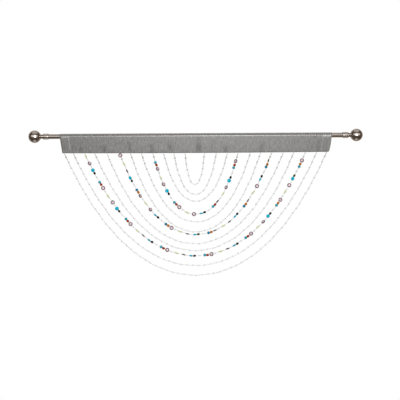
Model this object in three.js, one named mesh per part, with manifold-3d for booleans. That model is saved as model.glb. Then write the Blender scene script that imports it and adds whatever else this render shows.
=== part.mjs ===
// Beaded valance hanging from a curtain rod, in millimetres.
// +X runs along the rod, -Y faces the room and +Z is up.
// The origin is the middle of the rod's axis.

import * as THREE from 'three';
import { mergeVertices } from 'three/addons/utils/BufferGeometryUtils.js';
import Module from 'manifold-3d';

const wasm = await Module();
wasm.setup();

// Clearance between neighbouring pieces
const FIT_GAP = 0.3;

// Rod: a plain steel tube
const ROD_DIAMETER = 16;
const ROD_WALL = 1;
const ROUND_SIDES = 24;

// Finials: a sleeve over the rod's end, a waist and a ball, measured along the rod from its middle
const COLLAR_FROM = 494;
const COLLAR_TO = 511.5;
const COLLAR_DIAMETER = 19.6;
const COLLAR_EDGE = 1.2;
const SOCKET_DEPTH = 14;
const WAIST_AT = 515.5;
const WAIST_DIAMETER = 13.6;
const BALL_CENTRE = 540.5;
const BALL_DIAMETER = 42;
const BALL_STEPS = 12;

// Heading: one cloth folded over the rod, its two layers drawn straight down to the seam along its
// lower edge; just above that seam they stand apart by twice the slit
const CLOTH = 1.2;
const SLIT_HALF = 0.3;
const SLIT_RISE = 2;
const HEADING_HALF_TOP = 457;
const HEADING_HALF_FOOT = 448;
const RIGHT_EDGE_BOW = 2;
const POCKET_STEPS = 11;
const LAYER_ROWS = 4;
const STATION_PITCH = 26;
const PAST_THE_END = 1.03;

// Lower edge of the cloth: its height at the ends, how much lower the middle is,
// and the narrow strip along it that backs the bead strings
const HEM_Z = -56;
const HEM_SAG = 1.3;
const STRIP_HEIGHT = 4;
const STRIP_THICKNESS = 3;

// Soft troughs in the layers: place along the rod, depth away from the room, half width,
// and the share of the drop below the rod's axis that each climbs from the lower edge
const FOLDS = [
  { at: -389, depth: 1.8, half: 9, climb: 0.45 },
  { at: -310, depth: 2.4, half: 8, climb: 0.5 },
  { at: -225, depth: 1.6, half: 10, climb: 0.7 },
  { at: -149, depth: 2.2, half: 9, climb: 0.75 },
  { at: -88, depth: 1.8, half: 12, climb: 0.75 },
  { at: 9, depth: 3.4, half: 10, climb: 0.95 },
  { at: 101, depth: 2.0, half: 8, climb: 0.5 },
  { at: 225, depth: 1.5, half: 12, climb: 0.7 },
  { at: 412, depth: 1.4, half: 10, climb: 0.7 },
];

// Bead strings: thread half width between beads and inside the strip, and the length sewn in
const STRING_SIDES = 3;
const THREAD_HALF = 1;
const ROOT_HALF = 0.8;
const ROOT_LENGTH = 3;
const CLEAR_PITCH = 20.04;
const END_MARGIN = 7;

// Search for a string's curve: range of its scale, halvings of that range, and step for a tangent
const SCALE_SPREAD = 20;
const SCALE_HALVINGS = 60;
const TANGENT_STEP = 0.5;

// Beads by kind: length along the string, width, depth, and the outline from end to end,
// each row of it a place and a width as shares of the bead's halves
const SPINDLE = [{ place: 0, wide: 1 }];
const BARREL = [{ place: -0.6, wide: 1 }, { place: 0.6, wide: 1 }];
const DISC = [{ place: -0.7, wide: 0.72 }, { place: 0, wide: 1 }, { place: 0.7, wide: 0.72 }];
const BEADS = {
  clear: { length: 7, width: 6.6, depth: 6.6, outline: SPINDLE },
  mauve_coin: { length: 14, width: 14, depth: 4.2, outline: DISC },
  turquoise_coin: { length: 12.5, width: 12.5, depth: 5, outline: DISC },
  turquoise_round: { length: 9, width: 9, depth: 9, outline: SPINDLE },
  dark_oval: { length: 9, width: 6.2, depth: 6.2, outline: SPINDLE },
  warm_oval: { length: 9.5, width: 6.4, depth: 6.4, outline: SPINDLE },
  green_oval: { length: 16, width: 5.4, depth: 5.4, outline: BARREL },
};

// Repeat of a coloured string: each bead's place from the first mauve coin, and which row of
// turns a coin takes its turn from
const MOTIF = [
  { at: 0, bead: 'mauve_coin', turns: 'first' },
  { at: 25, bead: 'turquoise_coin', turns: 'turquoise' },
  { at: 36.5, bead: 'dark_oval' },
  { at: 52, bead: 'clear' },
  { at: 71, bead: 'turquoise_round' },
  { at: 80.5, bead: 'warm_oval' },
  { at: 94, bead: 'mauve_coin', turns: 'second' },
  { at: 107.5, bead: 'clear' },
  { at: 126, bead: 'green_oval' },
];

// Turn of a coin about its string: f shows its face, o stands oblique, e shows its edge
const COIN_TURN = { f: 0, o: Math.PI / 4, e: Math.PI / 2 };

// Swags from the longest to the shortest: the two roots along the hem, the sag below it, and how
// far the low point leans to the right. A clear one starts with a bead at that place from the left
// root. A coloured one gives its first mauve coin's place there, the length of its repeat, and its
// coins' turns from left to right.
const SWAGS = [
  { left: -441.5, right: 440.5, sag: 412, lean: 0, start: 15.2 },
  { left: -411, right: 407, sag: 379.5, lean: 0, start: 17.7 },
  {
    left: -373.5, right: 369.5, sag: 346.5, lean: 3, start: 38.5, repeat: 151.5,
    first: 'ofeeeof', turquoise: 'ffoeeoe', second: 'fffffff',
  },
  { left: -339.5, right: 330, sag: 329, lean: 3, start: 15.3 },
  { left: -298, right: 295, sag: 305.5, lean: -2.5, start: 23.1 },
  {
    left: -256, right: 256, sag: 274.5, lean: 0.5, start: 65.5, repeat: 151.5,
    first: 'eoeef', turquoise: 'eeeeo', second: 'fofeee',
  },
  { left: -219.5, right: 218, sag: 265.5, lean: 0, start: 15.4 },
  { left: -182.5, right: 184, sag: 232, lean: 0, start: 16.5 },
  {
    left: -144, right: 142.5, sag: 206, lean: 0.5, start: 111, repeat: 149.5,
    first: 'ofo', turquoise: 'fef', second: 'ofeo',
  },
  { left: -108, right: 107, sag: 162.5, lean: 0, start: 17.8 },
  { left: -73.5, right: 69.5, sag: 139.5, lean: 0, start: 17.2 },
  { left: -35.5, right: 29.5, sag: 106, lean: 0, start: 17.5 },
];

// Joins and cuts work on solids whose shared vertices are merged
function solidOf(geometry) {
  const bare = geometry.clone();
  bare.deleteAttribute('normal');
  bare.deleteAttribute('uv');
  const merged = mergeVertices(bare, 1e-4);
  const vertProperties = new Float32Array(merged.attributes.position.array);
  const triVerts = new Uint32Array(merged.index.array);
  return new wasm.Manifold(new wasm.Mesh({ numProp: 3, vertProperties, triVerts }));
}

function geometryOf(solid) {
  const mesh = solid.getMesh();
  const geometry = new THREE.BufferGeometry();
  geometry.setAttribute('position', new THREE.BufferAttribute(mesh.vertProperties, 3));
  geometry.setIndex(new THREE.BufferAttribute(mesh.triVerts, 1));
  return geometry;
}

// Skin through rings of points, closed at both ends; flat gives a ring's points in its own plane
function loft(rings, flat) {
  const count = rings[0].length;
  const corners = [];
  for (let r = 0; r + 1 < rings.length; r += 1) {
    for (let i = 0; i < count; i += 1) {
      const a = r * count + i;
      const b = r * count + ((i + 1) % count);
      corners.push(a, b, b + count, a, b + count, a + count);
    }
  }
  const last = (rings.length - 1) * count;
  const outline = rings[0].map(flat);
  for (const cap of THREE.ShapeUtils.triangulateShape(outline, [])) {
    const [a, b, c] = THREE.ShapeUtils.isClockWise(outline) ? cap.reverse() : cap;
    corners.push(c, b, a);
    corners.push(last + a, last + b, last + c);
  }
  const geometry = new THREE.BufferGeometry().setFromPoints(rings.flat());
  geometry.setIndex(signedVolume(rings.flat(), corners) < 0 ? corners.reverse() : corners);
  return geometry;
}

function signedVolume(points, corners) {
  let volume = 0;
  for (let i = 0; i < corners.length; i += 3) {
    const [a, b, c] = [points[corners[i]], points[corners[i + 1]], points[corners[i + 2]]];
    volume += a.dot(b.clone().cross(c)) / 6;
  }
  return volume;
}

// Turned pieces: a profile of radius and place along the rod
function turned(profile) {
  const points = profile.map(([radius, place]) => new THREE.Vector2(radius, place));
  return new THREE.LatheGeometry(points, ROUND_SIDES);
}

const ROD_HALF = COLLAR_FROM + SOCKET_DEPTH - FIT_GAP;
const SOCKET_RADIUS = ROD_DIAMETER / 2 + FIT_GAP;

function rodTube() {
  const outer = ROD_DIAMETER / 2;
  const inner = outer - ROD_WALL;
  return turned([
    [outer, -ROD_HALF], [outer, ROD_HALF], [inner, ROD_HALF], [inner, -ROD_HALF], [outer, -ROD_HALF],
  ]).rotateZ(-Math.PI / 2);
}

function finial() {
  const collar = COLLAR_DIAMETER / 2;
  const waist = WAIST_DIAMETER / 2;
  const ball = BALL_DIAMETER / 2;
  const profile = [
    [0, COLLAR_FROM + SOCKET_DEPTH],
    [SOCKET_RADIUS, COLLAR_FROM + SOCKET_DEPTH],
    [SOCKET_RADIUS, COLLAR_FROM],
    [collar - COLLAR_EDGE / 2, COLLAR_FROM],
    [collar, COLLAR_FROM + COLLAR_EDGE],
    [collar, COLLAR_TO - COLLAR_EDGE],
    [collar - COLLAR_EDGE, COLLAR_TO],
    [waist, WAIST_AT - COLLAR_EDGE],
    [waist, WAIST_AT + COLLAR_EDGE],
  ];
  const first = Math.asin(waist / ball);
  for (let i = 0; i <= BALL_STEPS; i += 1) {
    const angle = THREE.MathUtils.lerp(first, Math.PI, i / BALL_STEPS);
    const radius = i === BALL_STEPS ? 0 : ball * Math.sin(angle);
    profile.push([radius, BALL_CENTRE - ball * Math.cos(angle)]);
  }
  return turned(profile);
}

// Shape of the hanging cloth
function hemZ(x) {
  const share = x / HEADING_HALF_FOOT;
  return HEM_Z - HEM_SAG * (1 - share * share);
}

function foldY(x, z) {
  const down = THREE.MathUtils.clamp(z / hemZ(x), 0, 1);
  let y = 0;
  for (const fold of FOLDS) {
    const across = (x - fold.at) / fold.half;
    const felt = THREE.MathUtils.smoothstep(down, 1 - fold.climb, 1);
    y += fold.depth * felt * Math.exp(-across * across);
  }
  return y;
}

const POCKET_RADIUS = SOCKET_RADIUS + CLOTH;

// Place along the rod of a station, drawn in towards the foot and bowed at the right edge
function clothX(share, z) {
  const down = THREE.MathUtils.clamp((POCKET_RADIUS - z) / (POCKET_RADIUS - HEM_Z), 0, 1);
  const half = THREE.MathUtils.lerp(HEADING_HALF_TOP, HEADING_HALF_FOOT, down);
  const bow = share > 0 ? RIGHT_EDGE_BOW * Math.sin(Math.PI * down) : 0;
  return share * (half + bow);
}

// Stations along the cloth as shares of its half width, closer together at each fold
function stations() {
  const steps = Math.round((2 * HEADING_HALF_TOP) / STATION_PITCH);
  const shares = [];
  for (let i = 0; i <= steps; i += 1) {
    shares.push((2 * i) / steps - 1);
  }
  const near = STATION_PITCH / 3 / HEADING_HALF_TOP;
  const extra = FOLDS.flatMap((fold) => [fold.at - fold.half, fold.at, fold.at + fold.half])
    .map((x) => x / HEADING_HALF_FOOT);
  const kept = shares.filter((s) => Math.abs(s) === 1 || extra.every((e) => Math.abs(e - s) > near));
  return [...kept, ...extra].sort((a, b) => a - b);
}

// Where the layers leave the rod, turned from straight down about its axis: a line from there is
// tangent to the pocket and ends at the foot
const FOOT_DEPTH = -HEM_Z - STRIP_HEIGHT;
const FOOT_REACH = Math.hypot(CLOTH, FOOT_DEPTH);
const LEAVING = Math.acos(POCKET_RADIUS / FOOT_REACH) + Math.atan(CLOTH / FOOT_DEPTH);
const POCKET_STEP = (2 * (Math.PI - LEAVING)) / POCKET_STEPS;

// Section of the cloth's outside or of the space in it: from the foot up the front, over the rod
// and down the back
function headingRing(share, { radius, half, rise }) {
  const foot = hemZ(share * HEADING_HALF_FOOT) + STRIP_HEIGHT + FIT_GAP + rise;
  const ring = [];
  const layer = (side, row) => {
    const up = row / LAYER_ROWS;
    const z = THREE.MathUtils.lerp(foot, -radius * Math.cos(LEAVING), up);
    const x = clothX(share, z);
    const out = THREE.MathUtils.lerp(half, radius * Math.sin(LEAVING), up);
    ring.push(new THREE.Vector3(x, foldY(x, z) + side * out, z));
  };
  for (let row = 0; row < LAYER_ROWS; row += 1) {
    layer(-1, row);
  }
  for (let i = 0; i <= POCKET_STEPS; i += 1) {
    const angle = LEAVING + i * POCKET_STEP;
    const z = -radius * Math.cos(angle);
    ring.push(new THREE.Vector3(clothX(share, z), -radius * Math.sin(angle), z));
  }
  for (let row = LAYER_ROWS - 1; row >= 0; row -= 1) {
    layer(1, row);
  }
  return ring;
}

const acrossRod = (point) => new THREE.Vector2(point.y, point.z);

// The space in the cloth runs out past both of its ends; its flats stay clear of the round rod
function headingCloth() {
  const outside = { radius: POCKET_RADIUS, half: CLOTH, rise: 0 };
  const inside = { radius: SOCKET_RADIUS / Math.cos(POCKET_STEP / 2), half: SLIT_HALF, rise: SLIT_RISE };
  const longer = stations().map((share) => (Math.abs(share) === 1 ? share * PAST_THE_END : share));
  const cloth = solidOf(loft(stations().map((share) => headingRing(share, outside)), acrossRod));
  const space = solidOf(loft(longer.map((share) => headingRing(share, inside)), acrossRod));
  return geometryOf(cloth.subtract(space));
}

// Narrow strip along the cloth's lower edge
function stripRing(share) {
  const low = hemZ(share * HEADING_HALF_FOOT);
  const half = STRIP_THICKNESS / 2;
  const corners = [[-half, low], [-half, low + STRIP_HEIGHT], [half, low + STRIP_HEIGHT], [half, low]];
  return corners.map(([y, z]) => {
    const x = clothX(share, z);
    return new THREE.Vector3(x, foldY(x, z) + y, z);
  });
}

// A hanging string's curve: the length scale whose catenary has this half span and sag
function catenaryScale(halfSpan, sag) {
  let low = halfSpan / SCALE_SPREAD;
  let high = halfSpan * SCALE_SPREAD;
  for (let i = 0; i < SCALE_HALVINGS; i += 1) {
    const middle = (low + high) / 2;
    const drop = middle * (Math.cosh(halfSpan / middle) - 1);
    [low, high] = drop > sag ? [middle, high] : [low, middle];
  }
  return (low + high) / 2;
}

// The string's middle line by its length from the left root; past a root it runs on straight
function swagCurve(swag) {
  const halfSpan = (swag.right - swag.left) / 2;
  const scale = catenaryScale(halfSpan, swag.sag);
  const half = scale * Math.sinh(halfSpan / scale);
  const middle = (swag.left + swag.right) / 2;
  const roots = [swag.left, swag.right].map((x) => new THREE.Vector3(x, foldY(x, hemZ(x)), hemZ(x)));
  const pointAt = (along) => {
    const s = THREE.MathUtils.clamp(along, 0, 2 * half) - half;
    const share = (s / half + 1) / 2;
    const root = roots[0].clone().lerp(roots[1], share);
    const x = middle + scale * Math.asinh(s / scale) + swag.lean * 4 * share * (1 - share);
    return new THREE.Vector3(x, root.y, root.z + Math.hypot(scale, s) - scale - swag.sag);
  };
  const frameAt = (along) => {
    const inside = THREE.MathUtils.clamp(along, TANGENT_STEP, 2 * half - TANGENT_STEP);
    const tangent = pointAt(inside + TANGENT_STEP).sub(pointAt(inside - TANGENT_STEP)).normalize();
    const point = pointAt(along);
    const past = along - THREE.MathUtils.clamp(along, 0, 2 * half);
    point.addScaledVector(tangent, past);
    return { point, across: new THREE.Vector3(-tangent.z, 0, tangent.x) };
  };
  return { length: 2 * half, frameAt };
}

// Beads on a swag: each one's kind, its place from the left root, and its turn about the string
function beadsOn(swag, length) {
  const beads = [];
  if (swag.repeat === undefined) {
    for (let at = swag.start; at < length - END_MARGIN; at += CLEAR_PITCH) {
      beads.push({ kind: 'clear', at, turn: 0 });
    }
    return beads;
  }
  const used = { first: 0, turquoise: 0, second: 0 };
  for (let start = swag.start - swag.repeat; start < length; start += swag.repeat) {
    for (const { at, bead, turns } of MOTIF) {
      const place = start + at;
      if (place < END_MARGIN || place > length - END_MARGIN) {
        continue;
      }
      if (turns) {
        beads.push({ kind: bead, at: place, turn: COIN_TURN[swag[turns][used[turns]]] });
        used[turns] += 1;
      } else {
        beads.push({ kind: bead, at: place, turn: 0 });
      }
    }
  }
  return beads;
}

// Half width across the string and half depth along Y at each place on a bead, thread at its ends
function beadSections({ kind, at, turn }) {
  const { length, width, depth, outline } = BEADS[kind];
  const wide = Math.hypot(width * Math.cos(turn), depth * Math.sin(turn)) / 2;
  const deep = Math.hypot(width * Math.sin(turn), depth * Math.cos(turn)) / 2;
  const thread = { wide: THREAD_HALF, deep: THREAD_HALF };
  const body = outline.map((row) => ({
    at: at + (row.place * length) / 2,
    wide: Math.max(row.wide * wide, THREAD_HALF),
    deep: Math.max(row.wide * deep, THREAD_HALF),
  }));
  return [{ at: at - length / 2, ...thread }, ...body, { at: at + length / 2, ...thread }];
}

// One string: three-sided rings whose width and depth are the beads' own
function beadString(swag) {
  const { length, frameAt } = swagCurve(swag);
  const root = { wide: ROOT_HALF, deep: ROOT_HALF };
  const sections = [
    { at: -ROOT_LENGTH, ...root },
    ...beadsOn(swag, length).flatMap(beadSections),
    { at: length + ROOT_LENGTH, ...root },
  ];
  const widest = Math.cos(Math.PI / 6);
  const deepest = (1 + Math.sin(Math.PI / 6)) / 2;
  const rings = sections.map(({ at, wide, deep }) => {
    const { point, across } = frameAt(at);
    const ring = [];
    for (let i = 0; i < STRING_SIDES; i += 1) {
      const angle = (2 * Math.PI * i) / STRING_SIDES - Math.PI / 2;
      const corner = point.clone().addScaledVector(across, (wide * Math.cos(angle)) / widest);
      corner.y += (deep * Math.sin(angle)) / deepest;
      ring.push(corner);
    }
    return ring;
  });
  return loft(rings, (corner) => new THREE.Vector2(corner.x, corner.y));
}

function beadSwags() {
  const strip = solidOf(loft(stations().map(stripRing), acrossRod));
  return geometryOf(SWAGS.reduce((joined, swag) => joined.add(solidOf(beadString(swag))), strip));
}

// Finishes
const BRUSHED_NICKEL = { color: 0x9a918c, roughness: 0.3, metalness: 1 };
const GREY_LINEN = { color: 0x898885, roughness: 0.9, metalness: 0 };
const CLEAR_BEADS = { color: 0xd9dcdf, roughness: 0.15, metalness: 0 };

function piece(name, geometry, finish) {
  const mesh = new THREE.Mesh(geometry, new THREE.MeshStandardMaterial(finish));
  mesh.name = name;
  return mesh;
}

const valance = new THREE.Group();
valance.add(piece('rod', rodTube(), BRUSHED_NICKEL));
for (const [name, turn] of [['finial_left', Math.PI / 2], ['finial_right', -Math.PI / 2]]) {
  const end = piece(name, finial(), BRUSHED_NICKEL);
  end.rotation.z = turn;
  valance.add(end);
}
valance.add(piece('heading', headingCloth(), GREY_LINEN));
valance.add(piece('bead_swags', beadSwags(), CLEAR_BEADS));

export default valance;
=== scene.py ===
"""Looks of a beaded valance on a curtain rod, laid out as a Blender add-on and run as a script.

Metres, +X along the rod, -Y towards the room, +Z up; the origin is the middle of the rod's axis.
"""

import math
from collections import namedtuple
from itertools import pairwise

import bpy
import numpy as np
from bpy.props import FloatProperty, FloatVectorProperty, PointerProperty
from mathutils import Matrix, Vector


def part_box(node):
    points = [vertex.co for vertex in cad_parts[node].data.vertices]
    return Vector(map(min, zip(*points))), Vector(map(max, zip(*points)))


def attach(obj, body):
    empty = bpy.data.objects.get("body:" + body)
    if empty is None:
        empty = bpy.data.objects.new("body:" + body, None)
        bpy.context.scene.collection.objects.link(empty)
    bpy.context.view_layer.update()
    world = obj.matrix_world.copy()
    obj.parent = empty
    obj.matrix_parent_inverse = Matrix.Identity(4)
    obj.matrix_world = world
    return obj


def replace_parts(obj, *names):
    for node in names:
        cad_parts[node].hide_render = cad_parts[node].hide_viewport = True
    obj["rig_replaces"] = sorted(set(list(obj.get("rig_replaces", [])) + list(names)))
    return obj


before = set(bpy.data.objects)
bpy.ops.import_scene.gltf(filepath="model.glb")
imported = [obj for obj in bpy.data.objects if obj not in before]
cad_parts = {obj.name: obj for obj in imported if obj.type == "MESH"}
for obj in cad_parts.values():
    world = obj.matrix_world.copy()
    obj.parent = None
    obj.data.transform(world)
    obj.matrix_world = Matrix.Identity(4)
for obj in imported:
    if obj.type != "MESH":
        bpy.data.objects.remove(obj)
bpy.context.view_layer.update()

bl_info = {
    "name": "Beaded valance",
    "version": (1, 0, 0),
    "blender": (4, 5, 0),
    "location": "View3D > Sidebar > Valance",
    "description": "Makes a cloth heading on a curtain rod with nested swags of beads",
    "category": "Object",
}

BODY = "root"
MM = 0.001

ROD_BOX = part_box("rod")
FINIAL_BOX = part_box("finial_right")
HEADING_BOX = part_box("heading")
SWAG_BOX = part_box("bead_swags")

# Soft troughs in the heading's layers, in millimetres: place along the rod, depth away from the
# room, half width, and the share of the drop that each climbs from the lower edge
Fold = namedtuple("Fold", "at depth half climb")
FOLDS = [
    Fold(-389, 0.9, 5, 0.4),
    Fold(-310, 1.3, 5, 0.5),
    Fold(-225, 0.8, 6, 0.7),
    Fold(-149, 1.1, 5, 0.6),
    Fold(-88, 0.8, 7, 0.75),
    Fold(9, 1.7, 5, 0.95),
    Fold(56, 0.4, 4, 0.8),
    Fold(101, 0.9, 4.5, 0.45),
    Fold(225, 0.7, 7, 0.7),
    Fold(416, 0.6, 5, 0.75),
    Fold(432, 0.5, 2.4, 0.95),
    Fold(442, 0.5, 2.4, 0.95),
]

# Beads, in millimetres: length along the string, width, and depth
Bead = namedtuple("Bead", "length width depth")
BEADS = {
    "clear": Bead(7, 6.6, 6.6),
    "seed": Bead(1.9, 3.4, 3.4),
    "bugle": Bead(7.4, 3.2, 3.2),
    "mauve_coin": Bead(14, 14, 4.6),
    "turquoise_coin": Bead(13, 13, 5.6),
    "turquoise_round": Bead(8.8, 10.2, 10.2),
    "dark_oval": Bead(9.6, 7.9, 7.9),
    "warm_oval": Bead(10.2, 8.8, 8.8),
    "green_oval": Bead(16, 5.4, 5.4),
}

# Repeat of a coloured string, in millimetres from its first mauve coin, with the swag's column
# that gives a bead its turn or its colour
Motif = namedtuple("Motif", "at bead column")
MOTIF = [
    Motif(0, "mauve_coin", "first"),
    Motif(25, "turquoise_coin", "turquoise"),
    Motif(36.5, "dark_oval", "dark"),
    Motif(52, "clear", None),
    Motif(71, "turquoise_round", None),
    Motif(80.5, "warm_oval", "warm"),
    Motif(94, "mauve_coin", "second"),
    Motif(107.5, "clear", None),
    Motif(126, "green_oval", None),
]

# Turns of a coin about its string: f shows its face, o stands oblique, e shows its edge
COIN_TURNS = {"f": 0.0, "o": math.pi / 4, "e": math.pi / 2}

# Swags from the longest to the shortest, in millimetres: the two roots along the hem, the sag, the
# low point's lean and the first bead's place. A coloured one has that of its first mauve coin, the
# length of its repeat, its coins' turns, and its warm and dark beads' colours from left to right.
Swag = namedtuple(
    "Swag",
    "left right sag lean start repeat first turquoise second warm dark",
    defaults=(None,) * 6,
)
SWAGS = [
    Swag(-441.5, 440.5, 412, 0, 15.2),
    Swag(-411, 407, 379.5, 0, 17.7),
    Swag(-373.5, 369.5, 346.5, 3, 38.5, 151.5, "ofeeeof", "ffeeeoo", "fffffff", "rrrrroo", "knkpkkv"),
    Swag(-339.5, 330, 329, 3, 15.3),
    Swag(-298, 295, 305.5, -2.5, 23.1),
    Swag(-256, 256, 274.5, 0.5, 65.5, 151.5, "eoeef", "oeeee", "fofeee", "ooooo", "gkvkk"),
    Swag(-219.5, 218, 265.5, 0, 15.4),
    Swag(-182.5, 184, 232, 0, 16.5),
    Swag(-144, 142.5, 206, 0.5, 111, 149.5, "ofo", "fef", "ofeo", "rrrr", "kkkk"),
    Swag(-108, 107, 162.5, 0, 17.8),
    Swag(-73.5, 69.5, 139.5, 0, 17.2),
    Swag(-35.5, 29.5, 106, 0, 17.5),
]
BLUER_SWAG = 5
CLEAR_KINDS = ("clear", "seed", "bugle")

# Colours of the dark beads by a swag's letters: black, brown, plum, olive and bottle green
DARK_SHADES = {
    "k": (0.006, 0.006, 0.007),
    "n": (0.030, 0.016, 0.010),
    "p": (0.030, 0.008, 0.018),
    "v": (0.060, 0.058, 0.012),
    "g": (0.008, 0.020, 0.014),
}

# Sides and rings of the round coloured beads
BEAD_SIDES = {
    "turquoise_round": (14, 10),
    "warm_oval": (12, 8),
    "dark_oval": (12, 8),
    "green_oval": (12, 10),
}

# Turns about the string, in radians: how unevenly coins hang, and from one round bead to the next
COIN_SWAY = 0.16
BEAD_TWIST = 2.4

# Strings, in metres: the bare thread at a root, and the waves by which one strays sideways and in depth
BARE_THREAD = 0.0015
SIDE_WAVES = (0.0115, 0.0041)
DEPTH_WAVES = (0.0092, 0.0053)

# Lamps, in metres: size across and up, place, and tilt up from shining straight down
Lamp = namedtuple("Lamp", "size place tilt")
KEY_LAMP = Lamp((1.25, 0.3), (0.16, -3.9, 0.02), math.pi / 2)
OVER_LAMP = Lamp((2.0, 1.2), (0, -0.3, 1.6), 0)
BACK_LAMP = Lamp((2.0, 1.2), (0, 2.8, 0.4), -math.pi / 2)
WHITE = (1.0, 1.0, 1.0)
WARM = (1.0, 0.78, 0.6)


def length(name, description, default):
    """A size in metres that a user may change."""
    return FloatProperty(name=name, description=description, default=default, unit="LENGTH", precision=4)


def number(name, description, default):
    """A plain number that a user may change."""
    return FloatProperty(name=name, description=description, default=default, precision=3)


def colour(name, description, default):
    """A linear colour that a user may change."""
    return FloatVectorProperty(
        name=name, description=description, default=default, subtype="COLOR", size=3, min=0, max=1
    )


class ValanceMetal(bpy.types.PropertyGroup):
    """Sizes and finish of the rod and its finials"""

    rod_diameter: length("Rod diameter", "Outside of the tube", 2 * ROD_BOX[1].z)
    rod_wall: length("Rod wall", "Thickness of the tube's wall", 0.001)
    collar_from: length("Collar start", "From the rod's middle to the finial's open end", FINIAL_BOX[0].x)
    collar_to: length("Collar end", "From the rod's middle to the collar's far edge", 0.5115)
    collar_diameter: length("Collar diameter", "Outside of the sleeve over the rod's end", 0.0196)
    collar_edge: length("Collar edge", "Width of the collar's rounded edges", 0.0005)
    socket_gap: length("Socket gap", "Clearance of the rod in the sleeve", 0.0003)
    waist_diameter: length("Waist diameter", "Where the ball starts", 0.0172)
    groove: length("Groove", "Depth of the groove between collar and ball", 0.0028)
    ball_diameter: length("Ball diameter", "Width of the ball", 2 * FINIAL_BOX[1].z)
    metal: colour("Metal", "Colour of the satin nickel", (0.43, 0.39, 0.36))


class ValanceCloth(bpy.types.PropertyGroup):
    """Sizes and colours of the heading"""

    half_top: length("Half width at the top", "Half of the heading's upper edge", HEADING_BOX[1].x)
    half_foot: length("Half width at the foot", "Half of the heading's lower edge", 0.448)
    right_bow: length("Bow", "How far the right edge bows out", 0.002)
    corner: length("Corner", "Radius of the lower right corner", 0.004)
    thickness: length("Cloth", "Thickness of one layer", 0.0006)
    pocket: length("Pocket radius", "Middle of the cloth round the rod", 0.0090)
    hem_z: length("Hem", "Height of the lower edge at its ends", -0.056)
    hem_sag: length("Hem sag", "How much lower the edge is at its middle", 0.0013)
    turn_in: length("Turned edge", "Height of the cloth turned in along the hem", 0.005)
    side_hem: length("Side hem", "Width of the cloth turned in at each end", 0.029)
    stitch: length("Stitch", "Length of one stitch and its gap", 0.0032)
    yarn: length("Yarn", "Pitch of the weave", 0.0009)
    dark: colour("Dark yarn", "Darker of the two greys", (0.031, 0.0304, 0.0283))
    pale: colour("Pale yarn", "Paler of the two greys", (0.172, 0.1695, 0.163))
    thread: colour("Sewing thread", "Colour of the stitches", (0.25, 0.25, 0.243))


class ValanceBeads(bpy.types.PropertyGroup):
    """Spacing and colours of the bead strings"""

    clear_pitch: length("Clear pitch", "From one large clear bead to the next", 0.02004)
    thread: length("Thread", "Thickness of the thread", 0.0005)
    end_margin: length("End margin", "Bare length at each root", 0.007)
    wobble: length("Wobble", "How far a string strays from its curve", 0.0005)
    crystal_alpha: number("Crystal", "How opaque the large clear beads are", 0.34)
    bugle_alpha: number("Bugle", "How opaque the seeds and bugles are", 0.28)
    # Painted shade: clear beads are made more opaque, so darker, near each root and where a string hangs
    # steeply, and paler on level stretches
    cloud: number("Shading", "How cloudy a clear bead is on a level stretch", 0.7)
    steep_painted_shade: number("Steep shading", "What is added where the string hangs straight down", 0.3)
    root_painted_shade: number("Root shading", "What is added at the string's root", 1.3)
    painted_shade_reach: length("Shade reach", "How far from its root a string stays shadier", 0.035)
    clear: colour("Clear", "Tint of the clear beads", (0.55, 0.57, 0.575))
    mauve_pale: colour("Mauve middle", "Middle of a mauve coin", (0.57, 0.445, 0.49))
    # Painted shade: this colour darkens a mauve coin towards its edge
    mauve_shaded_rim: colour("Mauve rim", "Rim of a mauve coin", (0.075, 0.034, 0.045))
    turquoise: colour("Turquoise", "Flat turquoise coins", (0.0, 0.32, 0.44))
    turquoise_pale: colour("Pale turquoise", "Round turquoise beads", (0.02, 0.27, 0.34))
    turquoise_deep: colour("Deep turquoise", "Round beads of the bluer string", (0.006, 0.16, 0.27))
    red: colour("Red", "Red beads", (0.27, 0.022, 0.0))
    orange: colour("Orange", "Orange beads", (0.39, 0.12, 0.0))
    green: colour("Green", "Long pale green beads", (0.48, 0.54, 0.28))


class ValanceStage(bpy.types.PropertyGroup):
    """Camera and light"""

    pixel: length("Pixel", "Size of one pixel of a 400 pixel wide picture, at the rod", 0.00336)
    picture: number("Picture", "Width of the picture in pixels", 400)
    rod_middle_x: number("Rod middle, across", "Pixel column of the rod's middle", 195.9)
    rod_middle_y: number("Rod middle, down", "Pixel row of the rod's middle", 135.8)
    distance: length("Camera distance", "From the camera to the rod", 4.0)
    roll: FloatProperty(
        name="Roll",
        description="Turn of the camera about its view",
        default=math.radians(0.31),
        subtype="ANGLE",
    )
    floor_z: length("Floor", "Height of the floor under the rod", -1.95)
    floor_half: length("Floor half width", "Half of the floor's side", 2.4)
    front_width: number("Front light, across", "Half its width, as a direction's sideways part", 0.93)
    front_height: number("Front light, up", "Half its height, as a direction's upward part", 0.37)
    front_rise: number("Front light, rise", "Its middle, as a direction's upward part", 0.16)
    front_light: number("Front light", "Brightness of the wide light in front", 1.5)
    rear_light: number("Rear light", "Brightness behind the object", 0.5)
    top_light: number("Top light", "Brightness overhead", 0.75)
    under_light: number("Under light", "Brightness straight below, as a metal piece mirrors it", 0.8)
    dim_light: number("Dim light", "Brightness of the dark sides of the studio", 0.13)
    key_light: number("Key light", "Watts of the lamp beside the camera", 100.0)
    over_light: number("Overhead light", "Watts of the soft lamp above the rod", 20.0)
    back_light: number("Back light", "Watts of the soft lamp behind the rod", 60.0)


# Node trees


class Value:
    """A node's output socket; arithmetic on it adds Math nodes to its tree."""

    def __init__(self, nodes, socket):
        self.nodes = nodes
        self.socket = socket

    def __add__(self, other):
        return self.nodes.math("ADD", self, other)

    def __sub__(self, other):
        return self.nodes.math("SUBTRACT", self, other)

    def __rsub__(self, other):
        return self.nodes.math("SUBTRACT", other, self)

    def __mul__(self, other):
        return self.nodes.math("MULTIPLY", self, other)

    def __truediv__(self, other):
        return self.nodes.math("DIVIDE", self, other)

    def __mod__(self, other):
        return self.nodes.math("FLOORED_MODULO", self, other)

    __radd__ = __add__
    __rmul__ = __mul__


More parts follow.
